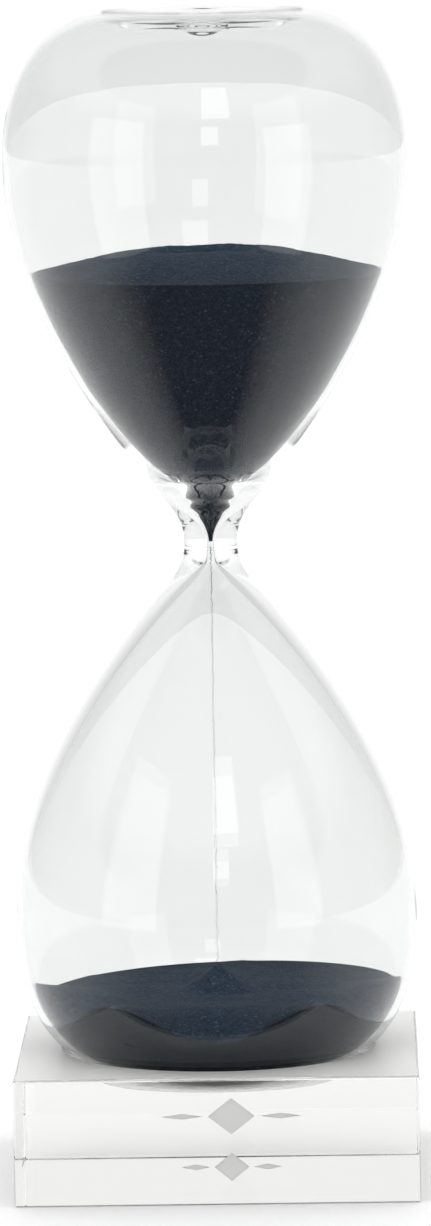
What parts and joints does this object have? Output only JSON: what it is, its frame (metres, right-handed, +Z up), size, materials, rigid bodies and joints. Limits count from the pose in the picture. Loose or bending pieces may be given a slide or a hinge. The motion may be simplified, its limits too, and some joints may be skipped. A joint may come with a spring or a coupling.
{
  "type": "hourglass",
  "caption": "Free-standing hourglass: a blown glass with a thick fused waist and dark sand, standing loose in a round recess of a clear square block.",
  "frame": {"origin": "middle of the block's underside, on the glass's axis", "axes": "+Z up along the glass's axis, -Y out of the block's ornamented front face, +X to the right seen from the front"},
  "size_m": [0.0806, 0.0806, 0.2333],
  "materials": {
    "crystal": "polished clear optical glass, frosted in the cut ornament",
    "blown_glass": "clear fire-polished borosilicate glass",
    "dark_sand": "fine dry blue-black sand with a few light grains"
  },
  "bodies": {
    "base": {"crystal_base": "crystal"},
    "timer": {"lower_bulb": "blown_glass", "upper_bulb": "blown_glass", "neck_weld": "blown_glass", "fill_seal": "blown_glass", "upper_sand": "dark_sand", "lower_sand": "dark_sand", "sand_stream": "dark_sand"}
  },
  "joints": [
    {"name": "glass_lift", "type": "slide", "parent": "base", "child": "timer", "axis": [0, 0, 1], "range_m": [0, 0.06]}
  ]
}
